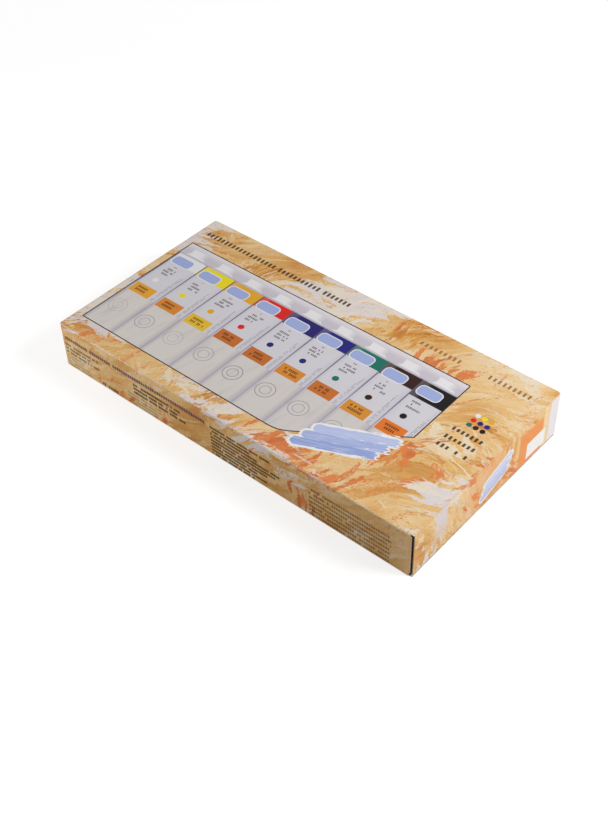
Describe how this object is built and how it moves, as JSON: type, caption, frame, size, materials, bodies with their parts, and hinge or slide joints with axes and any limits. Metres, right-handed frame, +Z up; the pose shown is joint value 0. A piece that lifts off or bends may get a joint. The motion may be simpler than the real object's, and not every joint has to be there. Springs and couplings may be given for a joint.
{
  "type": "oil paint set",
  "caption": "Oil paint tubes with screw caps in a flat printed folding carton with tuck-in closures at both ends.",
  "frame": {"origin": "centre of the base, on the surface that the carton lies on", "axes": "+X along the carton's length, +Y from the long front side towards the tube caps, +Z up through the printed top"},
  "size_m": [0.29, 0.15, 0.035],
  "materials": {
    "printed_board": "satin",
    "tube_enamel": "satin",
    "cap_plastic": "satin",
    "paint_white": "gloss",
    "paint_lemon": "gloss",
    "paint_ochre": "gloss",
    "paint_red": "gloss",
    "paint_violet": "gloss",
    "paint_ultramarine": "gloss",
    "paint_green": "gloss",
    "paint_umber": "gloss",
    "paint_black": "gloss"
  },
  "bodies": {
    "carton": {"top_panel": "printed_board", "bottom_panel": "printed_board", "front_side_panel": "printed_board", "back_side_panel": "printed_board", "glue_flap": "printed_board", "tube_white": "tube_enamel", "tube_lemon": "tube_enamel", "tube_ochre": "tube_enamel", "tube_red": "tube_enamel", "tube_violet": "tube_enamel", "tube_ultramarine": "tube_enamel", "tube_green": "tube_enamel", "tube_umber": "tube_enamel", "tube_black": "tube_enamel", "paint_white": "paint_white", "paint_lemon": "paint_lemon", "paint_ochre": "paint_ochre", "paint_red": "paint_red", "paint_violet": "paint_violet", "paint_ultramarine": "paint_ultramarine", "paint_green": "paint_green", "paint_umber": "paint_umber", "paint_black": "paint_black"},
    "left_closure_panel": {"left_closure_panel": "printed_board"},
    "left_tuck_tongue": {"left_tuck_tongue": "printed_board"},
    "left_front_dust_flap": {"left_front_dust_flap": "printed_board"},
    "left_back_dust_flap": {"left_back_dust_flap": "printed_board"},
    "right_closure_panel": {"right_closure_panel": "printed_board"},
    "right_tuck_tongue": {"right_tuck_tongue": "printed_board"},
    "right_front_dust_flap": {"right_front_dust_flap": "printed_board"},
    "right_back_dust_flap": {"right_back_dust_flap": "printed_board"},
    "cap_white": {"cap_white": "cap_plastic"},
    "cap_lemon": {"cap_lemon": "cap_plastic"},
    "cap_ochre": {"cap_ochre": "cap_plastic"},
    "cap_red": {"cap_red": "cap_plastic"},
    "cap_violet": {"cap_violet": "cap_plastic"},
    "cap_ultramarine": {"cap_ultramarine": "cap_plastic"},
    "cap_green": {"cap_green": "cap_plastic"},
    "cap_umber": {"cap_umber": "cap_plastic"},
    "cap_black": {"cap_black": "cap_plastic"}
  },
  "joints": [
    {"name": "left_closure_hinge", "type": "hinge", "parent": "carton", "child": "left_closure_panel", "pos_m": [-0.145, 0, 0.035], "axis": [0, 1, 0], "range_deg": [0, 160]},
    {"name": "left_tongue_crease", "type": "hinge", "parent": "left_closure_panel", "child": "left_tuck_tongue", "pos_m": [-0.145, 0, 0.0006], "axis": [0, 1, 0], "range_deg": [0, 48]},
    {"name": "left_front_flap_crease", "type": "hinge", "parent": "carton", "child": "left_front_dust_flap", "pos_m": [-0.1439, -0.075, 0.0175], "axis": [0, 0, 1], "range_deg": [0, 100]},
    {"name": "left_back_flap_crease", "type": "hinge", "parent": "carton", "child": "left_back_dust_flap", "pos_m": [-0.1439, 0.075, 0.0175], "axis": [0, 0, -1], "range_deg": [0, 100]},
    {"name": "right_closure_hinge", "type": "hinge", "parent": "carton", "child": "right_closure_panel", "pos_m": [0.145, 0, 0.035], "axis": [0, -1, 0], "range_deg": [0, 160]},
    {"name": "right_tongue_crease", "type": "hinge", "parent": "right_closure_panel", "child": "right_tuck_tongue", "pos_m": [0.145, 0, 0.0006], "axis": [0, -1, 0], "range_deg": [0, 48]},
    {"name": "right_front_flap_crease", "type": "hinge", "parent": "carton", "child": "right_front_dust_flap", "pos_m": [0.1439, -0.075, 0.0175], "axis": [0, 0, -1], "range_deg": [0, 100]},
    {"name": "right_back_flap_crease", "type": "hinge", "parent": "carton", "child": "right_back_dust_flap", "pos_m": [0.1439, 0.075, 0.0175], "axis": [0, 0, 1], "range_deg": [0, 100]},
    {"name": "cap_white_thread", "type": "hinge", "parent": "carton", "child": "cap_white", "pos_m": [-0.1156, 0.06, 0.01512], "axis": [0, 1, 0], "range_deg": [0, 720]},
    {"name": "cap_lemon_thread", "type": "hinge", "parent": "carton", "child": "cap_lemon", "pos_m": [-0.0867, 0.06, 0.01512], "axis": [0, 1, 0], "range_deg": [0, 720]},
    {"name": "cap_ochre_thread", "type": "hinge", "parent": "carton", "child": "cap_ochre", "pos_m": [-0.0578, 0.06, 0.01512], "axis": [0, 1, 0], "range_deg": [0, 720]},
    {"name": "cap_red_thread", "type": "hinge", "parent": "carton", "child": "cap_red", "pos_m": [-0.0289, 0.06, 0.01512], "axis": [0, 1, 0], "range_deg": [0, 720]},
    {"name": "cap_violet_thread", "type": "hinge", "parent": "carton", "child": "cap_violet", "pos_m": [0, 0.06, 0.01512], "axis": [0, 1, 0], "range_deg": [0, 720]},
    {"name": "cap_ultramarine_thread", "type": "hinge", "parent": "carton", "child": "cap_ultramarine", "pos_m": [0.0289, 0.06, 0.01512], "axis": [0, 1, 0], "range_deg": [0, 720]},
    {"name": "cap_green_thread", "type": "hinge", "parent": "carton", "child": "cap_green", "pos_m": [0.0578, 0.06, 0.01512], "axis": [0, 1, 0], "range_deg": [0, 720]},
    {"name": "cap_umber_thread", "type": "hinge", "parent": "carton", "child": "cap_umber", "pos_m": [0.0867, 0.06, 0.01512], "axis": [0, 1, 0], "range_deg": [0, 720]},
    {"name": "cap_black_thread", "type": "hinge", "parent": "carton", "child": "cap_black", "pos_m": [0.1156, 0.06, 0.01512], "axis": [0, 1, 0], "range_deg": [0, 720]}
  ],
  "couplings": [
    {"joint": "left_tongue_crease", "follows": "left_closure_hinge", "ratio": 0.3},
    {"joint": "left_front_flap_crease", "follows": "left_closure_hinge", "ratio": 0.625},
    {"joint": "left_back_flap_crease", "follows": "left_closure_hinge", "ratio": 0.625},
    {"joint": "right_tongue_crease", "follows": "right_closure_hinge", "ratio": 0.3},
    {"joint": "right_front_flap_crease", "follows": "right_closure_hinge", "ratio": 0.625},
    {"joint": "right_back_flap_crease", "follows": "right_closure_hinge", "ratio": 0.625}
  ]
}
